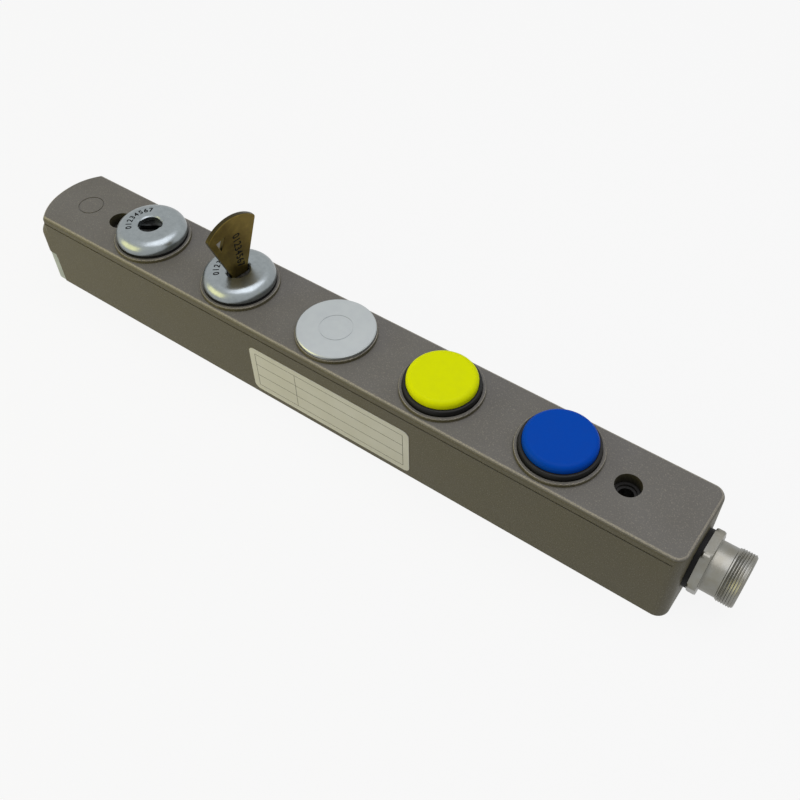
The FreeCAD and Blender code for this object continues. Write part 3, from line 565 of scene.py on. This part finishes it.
def new_tree(name, sockets):
    """A geometry tree with named inputs: {name: (socket type, default)}."""
    tree = bpy.data.node_groups.new(name, "GeometryNodeTree")
    tree.interface.new_socket("Geometry", in_out="INPUT", socket_type="NodeSocketGeometry")
    for label, (kind, value) in sockets.items():
        made = tree.interface.new_socket(label, in_out="INPUT", socket_type=kind)
        made.default_value = value
    tree.interface.new_socket("Geometry", in_out="OUTPUT", socket_type="NodeSocketGeometry")
    return tree, tree.nodes.new("NodeGroupInput"), tree.nodes.new("NodeGroupOutput")


def close_tree(tree, out, geometry, material):
    """Ends a tree in Realize Instances and Set Material."""
    real = add_node(tree, "GeometryNodeRealizeInstances", Geometry=geometry)
    painted = add_node(tree, "GeometryNodeSetMaterial", Geometry=real, Material=material)
    feed(tree, out, Geometry=painted)


def run_tree(made, tree):
    """Runs a geometry tree on an object and keeps the mesh that it makes."""
    modifier = made.modifiers.new("Repeats", "NODES")
    modifier.node_group = tree
    plain(made)


def thread_tree(radius, length, pitch, depth, material):
    """A helical ridge: a small diamond section swept along a spiral."""
    tree, given, out = new_tree("helical_ridge", {
        "Radius": ("NodeSocketFloat", radius),
        "Length": ("NodeSocketFloat", length),
        "Turns": ("NodeSocketFloat", length / pitch),
        "Depth": ("NodeSocketFloat", depth),
    })
    spiral = add_node(tree, "GeometryNodeCurveSpiral", Resolution=96, Rotations=given.outputs["Turns"],
                      Start_Radius=given.outputs["Radius"], End_Radius=given.outputs["Radius"],
                      Height=given.outputs["Length"])
    section = add_node(tree, "GeometryNodeCurvePrimitiveCircle", Resolution=4, Radius=given.outputs["Depth"])
    swept = add_node(tree, "GeometryNodeCurveToMesh", Curve=spiral, Profile_Curve=section, Fill_Caps=True)
    close_tree(tree, out, swept, material)
    return tree


def grid_tree(name, columns, rows, width, depth, middle, material):
    """Repeats a piece on a grid of points about a middle."""
    tree, given, out = new_tree(name, {
        "Width": ("NodeSocketFloat", width),
        "Depth": ("NodeSocketFloat", depth),
    })
    grid = add_node(tree, "GeometryNodeMeshGrid", Size_X=given.outputs["Width"],
                    Size_Y=given.outputs["Depth"], Vertices_X=columns, Vertices_Y=rows)
    moved = add_node(tree, "GeometryNodeTransform", Geometry=grid, Translation=middle)
    placed = add_node(tree, "GeometryNodeInstanceOnPoints", Points=moved, Instance=given.outputs["Geometry"])
    close_tree(tree, out, placed, material)
    return tree


# Pieces

class SWITCH_OT_casting(bpy.types.Operator):
    """Painted casting, its cover, the nose and the label"""
    bl_idname = "switch.casting"
    bl_label = "Casting"

    nose_length: FloatProperty(name="Nose", description="Length of the carved nose", default=7.7 * MM,
                               unit="LENGTH")
    nose_bulge: FloatProperty(name="Bulge", description="Radius of the arc in the front's outline",
                              default=29.8 * MM, unit="LENGTH")

    def execute(self, context):
        self.housing()
        dress("rear_cover", "paint")
        dress("nose_insert", "bare")
        dress("rear_gasket", "rubber")
        dress("side_label", "film")
        self.rule_label()
        return {"FINISHED"}

    def housing(self):
        """The casting, its nose carved to the wide arc of the front and the full corners below."""
        merge, overlap = 2e-6, 0.02 * MM
        mesh = NODES["housing"].data.copy()
        mesh.name = "painted_housing"
        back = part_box("nose_insert")[0].x + self.nose_length
        work = bmesh.new()
        work.from_mesh(mesh)
        bmesh.ops.remove_doubles(work, verts=work.verts, dist=merge)
        bmesh.ops.dissolve_degenerate(work, edges=work.edges, dist=merge)
        whole = work.verts[:] + work.edges[:] + work.faces[:]
        cut = bmesh.ops.bisect_plane(work, geom=whole, plane_co=(back, 0, 0), plane_no=(1, 0, 0),
                                     clear_inner=True)
        rim = [item for item in cut["geom_cut"] if isinstance(item, bmesh.types.BMEdge)]
        bmesh.ops.triangle_fill(work, edges=rim, use_beauty=True)
        self.nose(work, back + overlap)
        work.to_mesh(mesh)
        work.free()
        piece = to_object("painted_housing", mesh, "paint")
        keep_flat(piece.data)
        settle(piece, "root", "cast_housing", "housing")

    def nose(self, work, back):
        """Adds the closed nose: rows of points about the middle of its back. Low down they follow the full
        corners, then a bend leads over to the wide arc, and the lip above is rounded."""
        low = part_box("nose_insert")[1].z
        top, half = 42 * MM, 20 * MM
        reach, bulge = self.nose_length, self.nose_bulge
        foot, bend = 29 * MM, 11.4 * MM
        corner, lip = 4.5 * MM, 1.8 * MM
        steps, bend_steps, lip_steps = 120, 16, 6

        def full(angle):
            across, least = abs(math.sin(angle)), 1e-6
            away = min(reach / max(math.cos(angle), least), half / max(across, least))
            if away * math.cos(angle) < reach - corner or away * across < half - corner:
                return away
            along = (reach - corner) * math.cos(angle) + (half - corner) * across
            off = (reach - corner) ** 2 + (half - corner) ** 2 - corner ** 2
            return along + math.sqrt(max(along ** 2 - off, 0))

        def arc(angle):
            behind = bulge - reach
            across = behind * math.sin(angle)
            return -behind * math.cos(angle) + math.sqrt(bulge ** 2 - across ** 2)

        levels = [low, 24 * MM, foot]
        levels += [foot + bend * step / bend_steps for step in range(1, bend_steps + 1)]
        rises = [math.sin(math.pi / 2 * step / lip_steps) for step in range(1, lip_steps + 1)]
        levels += [top - lip + lip * rise for rise in rises]
        rows = []
        for level in levels:
            share = min(max((level - foot) / bend, 0), 1)
            share = share * share * (3 - 2 * share)
            over = max(level - (top - lip), 0)
            inset = lip - math.sqrt(max(lip ** 2 - over ** 2, 0))
            row = []
            for step in range(steps + 1):
                angle = math.pi * (step / steps - 0.5)
                away = (1 - share) * full(angle) + share * arc(angle) - inset
                row.append(work.verts.new((back - away * math.cos(angle), away * math.sin(angle), level)))
            rows.append(row)
        faces = []
        for one, other in zip(rows, rows[1:]):
            for step in range(steps):
                faces.append(work.faces.new((one[step], one[step + 1], other[step + 1], other[step])))
        for edge in (rows[0], rows[-1], [row[0] for row in rows] + [row[-1] for row in reversed(rows)]):
            faces.append(work.faces.new(edge))
        bmesh.ops.recalc_face_normals(work, faces=faces)

    def rule_label(self):
        """Hairlines of an empty form on the bare film."""
        low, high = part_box("side_label")
        inset, line, lift = 3.2 * MM, 0.22 * MM, 0.02 * MM
        body = bmesh.new()
        width = high.x - low.x - 2 * inset
        height = high.z - low.z - 2 * inset

        def bar(x, z, long, tall):
            centre = Vector((x + long / 2, low.y - lift / 2, z + tall / 2))
            shape = Matrix.Diagonal((long, lift, tall, 1))
            bmesh.ops.create_cube(body, size=1, matrix=Matrix.Translation(centre) @ shape)

        for share in (0, 0.34, 0.67, 1):
            bar(low.x + inset, low.z + inset + share * height - line / 2, width, line)
        for share in (0, 0.28, 1):
            bar(low.x + inset + share * width - line / 2, low.z + inset, line, height)
        mesh = bpy.data.meshes.new("label_hairlines")
        body.to_mesh(mesh)
        body.free()
        settle(to_object("label_hairlines", mesh, "hairline"), "root", "label_film")


class SWITCH_OT_locks(bpy.types.Operator):
    """Domed lock heads with keyholes and plain figures, and the lock works behind them"""
    bl_idname = "switch.locks"
    bl_label = "Locks"

    figures: StringProperty(name="Figures", description="Plain dial figures", default="01234567")

    def execute(self, context):
        for number in (1, 2):
            self.head(context.scene.switch_sizes, number)
            dress(f"lock_{number}_seal", "rubber")
            for part in ("sleeve", "nut", "cam"):
                dress(f"lock_{number}_{part}", "steel")
            # The plug is nearly black: painted shade of the deep keyhole slot
            dress(f"lock_{number}_plug", "steel_in_painted_shade")
            dress(f"lock_{number}_contact_block", "black")
        return {"FINISHED"}

    def head(self, sizes, number):
        """A turned dome with a lobed throat round the keyhole, and its figures."""
        node = f"lock_{number}_head"
        low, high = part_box(node)
        centre = (low + high) / 2
        outer, top = (high.x - low.x) / 2, high.z
        rounding, bottom = 4.8 * MM, 0.6 * MM
        throat, bore, floor = 5.3 * MM, 6.6 * MM, 2.5 * MM
        lead, mouth, edge = 0.6 * MM, 0.65 * MM, 0.12 * MM
        lobe, lobe_half = 0.45 * MM, 2.0 * MM
        notch = math.radians(NOTCHES[number])

        def lobed(extra):
            def radius(angle):
                away = abs(math.sin(angle - notch)) * throat
                return throat + extra + (lobe if away < lobe_half else 0.0)
            return radius

        rows = [(low.z, bore), (low.z, outer - bottom)]
        rows += quarter(outer - bottom, low.z + bottom, bottom, -90, 0, steps=4)[1:]
        rows += quarter(outer - rounding, top - rounding, rounding, 0, 90, steps=14)
        rows += [(top, throat + lead + mouth), (top - edge, lobed(lead * 0.9)), (top - lead, lobed(0))]
        rows += [(top - floor, lobed(0)), (top - floor, bore)]
        mesh = ring_mesh(f"{node}_domed", rows, sizes.segments)
        mesh.transform(Matrix.Translation((centre.x, centre.y, 0)))
        settle(to_object(f"{node}_domed", mesh, "zinc"), "root", "lock_steel", node)
        first, last = 232, 131
        figures_on_arc(f"lock_{number}_figures", self.figures, centre, sizes.digit_radius, first, last, top,
                       "root")


class SWITCH_OT_key(bpy.types.Operator):
    """Flat brass key with softened edges and plain figures"""
    bl_idname = "switch.key"
    bl_label = "Key"

    figures: StringProperty(name="Figures", description="Plain figures down the bow", default="01234567")

    def execute(self, context):
        softness, half_thick, shift = 0.35 * MM, 1.2 * MM, 1.2 * MM
        below, spacing = 10.2 * MM, 2.35 * MM
        height, squeeze = 3.9 * MM, 0.76
        bevelled_copy("flat_key", "key", softness, "brass", "key", "key_brass")
        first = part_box("key")[1].z - below
        plug = centre_of("lock_2_plug")
        angle = math.radians(NOTCHES[2])
        along = Vector((math.cos(angle), math.sin(angle), 0))
        out = Vector((math.sin(angle), -math.cos(angle), 0))
        narrow = Matrix.Diagonal((squeeze, 1, 1, 1))
        axes = Matrix((Vector((0, 0, -1)), along, out)).transposed().to_4x4()
        placed = []
        for index, figure in enumerate(self.figures):
            spot = Vector((plug.x, plug.y, first - index * spacing))
            spot += out * (half_thick + INLAY) + along * shift
            placed.append((text_mesh("key_figure", figure, height), Matrix.Translation(spot) @ axes @ narrow))
        settle(to_object("key_figures", join_meshes("key_figures", placed), "ink"), "key", None)
        return {"FINISHED"}


class SWITCH_OT_blank(bpy.types.Operator):
    """Blanking disc, its seal and its nut"""
    bl_idname = "switch.blank"
    bl_label = "Blanking plug"

    def execute(self, context):
        dress("blanking_plug", "disc")
        dress("blanking_seal", "rubber")
        dress("blanking_nut", "steel")
        return {"FINISHED"}


class SWITCH_OT_buttons(bpy.types.Operator):
    """Push buttons: lens caps, bezels and the works behind them"""
    bl_idname = "switch.buttons"
    bl_label = "Buttons"

    def execute(self, context):
        for colour in COLOURS:
            dress(f"{colour}_lens", colour)
            for part in ("bezel", "plunger", "contact_block"):
                dress(f"{colour}_{part}", "black")
            for part in ("nut", "clip", "spring"):
                dress(f"{colour}_{part}", "steel")
            dress(f"{colour}_seal", "rubber")
        return {"FINISHED"}


class SWITCH_OT_connector(bpy.types.Operator):
    """Round connector with a hexagon flange, a thread and gilt contacts"""
    bl_idname = "switch.connector"
    bl_label = "Connector"

    def execute(self, context):
        self.shell(context.scene.switch_sizes)
        dress("connector_gasket", "rubber")
        dress("connector_insert", "black")
        dress("connector_pins", "contacts")
        dress("connector_nut", "steel")
        return {"FINISHED"}

    def shell(self, sizes):
        """The shell, skinned about its axis from the housing's end face outwards, and its thread's ridge."""
        low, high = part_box("connector_shell")
        end_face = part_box("housing")[1].x
        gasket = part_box("connector_gasket")[1].x - end_face
        start, end = low.x - end_face, high.x - end_face
        flange = gasket + 0.05 * MM
        flange_end = flange + 3.7 * MM
        step = flange_end + 7.1 * MM
        stem, bore, socket = 10.0 * MM, 8.3 * MM, 9.5 * MM
        neck, bevel, ease = 10.6 * MM, 0.6 * MM, 0.3 * MM
        core, chamfer = 11.4 * MM - sizes.thread_depth, 0.5 * MM
        floor = flange + 0.1 * MM
        flats = 12.75 * MM
        corner = flats / math.cos(math.pi / 6)
        turn = math.radians(26)

        def hexagon(limit):
            def radius(angle):
                turned = (angle - turn + math.pi / 6) % (math.pi / 3) - math.pi / 6
                return min(flats / math.cos(math.pi / 6 - abs(turned)), limit)
            return radius

        cut_off, full = hexagon(flats * 1.09), hexagon(corner * 0.985)
        rows = [(start, bore), (start, stem), (flange, stem), (flange, cut_off), (flange + bevel, full)]
        rows += [(flange_end - bevel, full), (flange_end, cut_off), (flange_end, neck + ease)]
        rows += [(flange_end + ease, neck), (step - ease, neck), (step, core), (end - chamfer, core)]
        rows += [(end, core - chamfer), (end, socket + ease), (end - ease, socket), (floor, socket)]
        rows += [(floor, bore)]
        mesh = ring_mesh("connector_body", rows, segments=180)
        lay = Matrix.Translation((end_face, 0, centre_of("connector_gasket").z))
        lay = lay @ Matrix.Rotation(math.pi / 2, 4, "Y")
        mesh.transform(lay)
        settle(to_object("connector_body", mesh, "nickel"), "root", "connector_nickel", "connector_shell")
        lead_in, lead_out = 0.5 * MM, 0.7 * MM
        run = end - step - lead_in - lead_out
        tree = thread_tree(core, run, sizes.thread_pitch, sizes.thread_depth, finish("nickel"))
        ridge = to_object("connector_thread_ridge", bpy.data.meshes.new("ridge"), "nickel")
        run_tree(ridge, tree)
        ridge.data.transform(lay @ Matrix.Translation((0, 0, step + lead_in)))
        for face in ridge.data.polygons:
            face.use_smooth = True
        ridge.data.set_sharp_from_angle(angle=math.radians(40))
        settle(ridge, "root", "connector_nickel")


class SWITCH_OT_screws(bpy.types.Operator):
    """Rear cover screws with hexagon sockets"""
    bl_idname = "switch.screws"
    bl_label = "Cover screws"

    def execute(self, context):
        low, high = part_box("rear_cover_screws")
        reach, shank, head = 2.8 * MM, 1.5 * MM, 1.25 * MM
        socket, sink = 1.25 * MM, 0.9 * MM
        ease, lead = 0.2 * MM, 0.12 * MM

        def socket_radius(angle):
            return socket / math.cos((angle + math.pi / 6) % (math.pi / 3) - math.pi / 6)

        bottom = low.z
        rows = [(bottom + sink, socket_radius), (bottom + lead, socket_radius)]
        rows += [(bottom, lambda angle: socket_radius(angle) + lead), (bottom, reach - ease)]
        rows += [(bottom + ease, reach), (bottom + head, reach), (bottom + head, shank), (high.z, shank)]
        mesh = ring_mesh("cover_screw", rows, segments=24, closed=False)
        screw = to_object("cover_screws", mesh, "steel")
        width, depth = high.x - low.x - 2 * reach, high.y - low.y - 2 * reach
        middle = ((low.x + high.x) / 2, 0, 0)
        tree = grid_tree("screw_grid", columns=4, rows=2, width=width, depth=depth, middle=middle,
                         material=finish("steel"))
        run_tree(screw, tree)
        screw.data.set_sharp_from_angle(angle=math.radians(32))
        settle(screw, "root", "steel_screws", "rear_cover_screws")
        return {"FINISHED"}


class SWITCH_OT_inside(bpy.types.Operator):
    """Circuit board and what holds it"""
    bl_idname = "switch.inside"
    bl_label = "Inside"

    def execute(self, context):
        dress("circuit_board", "board")
        dress("board_standoffs", "contacts")
        dress("board_screws", "steel")
        return {"FINISHED"}


class SWITCH_OT_stage(bpy.types.Operator):
    """Pale floor, soft light and the camera"""
    bl_idname = "switch.stage"
    bl_label = "Stage"

    camera_place: FloatVectorProperty(name="Camera", description="Where the camera stands",
                                      default=(0.19475, -0.22214, 0.35423), unit="LENGTH")
    camera_turn: FloatVectorProperty(name="Camera turn", description="Euler angles in degrees",
                                     default=(39.58, 1.009, 35.456))
    lens: FloatProperty(name="Lens", description="Focal length on a 36 mm frame", default=44.54)

    def execute(self, context):
        self.floor()
        self.world(context.scene)
        self.lamp("overhead_softbox", (0.10, 0.05, 0.85), (0, 0, 0), 0.8, 4.4, "#F8F7FF")
        self.lamp("warm_fill", (-0.36, -0.42, 0.12), (-0.12, 0, 0.02), 0.5, 1.5, "#FFF38C")
        camera = bpy.data.cameras.new("photo_view")
        camera.lens = self.lens
        camera.sensor_width = 36
        holder = bpy.data.objects.new("photo_view", camera)
        holder.location = self.camera_place
        holder.rotation_euler = [math.radians(angle) for angle in self.camera_turn]
        context.scene.collection.objects.link(holder)
        context.scene.camera = holder
        context.scene.view_settings.view_transform = "Standard"
        return {"FINISHED"}

    def seen_white(self, tree):
        """1 where a camera, glossy or transmitted ray looks, else 0."""
        rays = add_node(tree, "ShaderNodeLightPath")
        seen = rays.outputs["Is Camera Ray"]
        for other in ("Is Glossy Ray", "Is Transmission Ray"):
            seen = add_node(tree, "ShaderNodeMath", {"operation": "MAXIMUM"}, Value=seen,
                            Value_001=rays.outputs[other])
        return seen

    def floor(self):
        """A wide sheet of paper that looks white but takes a soft shadow."""
        reach, below = 4.0, 0.2 * MM
        mesh = bpy.data.meshes.new("floor")
        corners = [(-reach, -reach, 0), (reach, -reach, 0), (reach, reach, 0), (-reach, reach, 0)]
        mesh.from_pydata(corners, [], [(0, 1, 2, 3)])
        floor = bpy.data.objects.new("floor", mesh)
        floor.location.z = -below
        bpy.context.scene.collection.objects.link(floor)
        material, tree, shade = new_material("white_paper", Base_Color="#B4B4B4", Roughness=0.9,
                                             Specular_IOR_Level=0.1)
        glow = add_node(tree, "ShaderNodeEmission", Color="#FFFFFF", Strength=1.0)
        share = add_node(tree, "ShaderNodeMath", {"operation": "MULTIPLY"}, Value=self.seen_white(tree),
                         Value_001=0.9)
        choose = add_node(tree, "ShaderNodeMixShader", Fac=share, Shader=shade, Shader_001=glow)
        out = next(node for node in tree.nodes if node.type == "OUTPUT_MATERIAL")
        feed(tree, out, Surface=choose)
        mesh.materials.append(material)

    def world(self, scene):
        """A dim even room that looks white itself."""
        room = bpy.data.worlds.new("soft_room")
        room.use_nodes = True
        scene.world = room
        tree = room.node_tree
        tree.nodes.clear()
        soft = add_node(tree, "ShaderNodeBackground", Color="#FFFFFF", Strength=0.32)
        white = add_node(tree, "ShaderNodeBackground", Color="#FFFFFF", Strength=1.0)
        choose = add_node(tree, "ShaderNodeMixShader", Fac=self.seen_white(tree), Shader=soft,
                          Shader_001=white)
        add_node(tree, "ShaderNodeOutputWorld", Surface=choose)

    def lamp(self, name, place, target, size, power, colour):
        """A square soft lamp, its size in metres and its power in watts, aimed at a target."""
        light = bpy.data.lights.new(name, "AREA")
        light.energy = power
        light.size = size
        light.color = linear(colour)[:3]
        holder = bpy.data.objects.new(name, light)
        holder.location = place
        aim = Vector(target) - Vector(place)
        holder.rotation_euler = aim.to_track_quat("-Z", "Y").to_euler()
        bpy.context.scene.collection.objects.link(holder)


class SWITCH_PT_panel(bpy.types.Panel):
    """Sizes, colours and steps of the switch's finish"""
    bl_idname = "SWITCH_PT_panel"
    bl_label = "Interlock switch"
    bl_space_type = "VIEW_3D"
    bl_region_type = "UI"
    bl_category = "Interlock"

    def draw(self, context):
        for group in (context.scene.switch_sizes, context.scene.switch_colours):
            for name in group.__annotations__:
                self.layout.prop(group, name)
        for step in STEPS:
            self.layout.operator(step.bl_idname)


STEPS = (SWITCH_OT_casting, SWITCH_OT_locks, SWITCH_OT_key, SWITCH_OT_blank, SWITCH_OT_buttons,
         SWITCH_OT_connector, SWITCH_OT_screws, SWITCH_OT_inside, SWITCH_OT_stage)
CLASSES = (FinishColours, DetailSizes, *STEPS, SWITCH_PT_panel)


def register():
    for item in CLASSES:
        bpy.utils.register_class(item)
    bpy.types.Scene.switch_sizes = PointerProperty(type=DetailSizes)
    bpy.types.Scene.switch_colours = PointerProperty(type=FinishColours)


def unregister():
    del bpy.types.Scene.switch_sizes
    del bpy.types.Scene.switch_colours
    for item in reversed(CLASSES):
        bpy.utils.unregister_class(item)


def main():
    register()
    for step in STEPS:
        group, name = step.bl_idname.split(".")
        getattr(getattr(bpy.ops, group), name)()


if __name__ == "__main__":
    main()
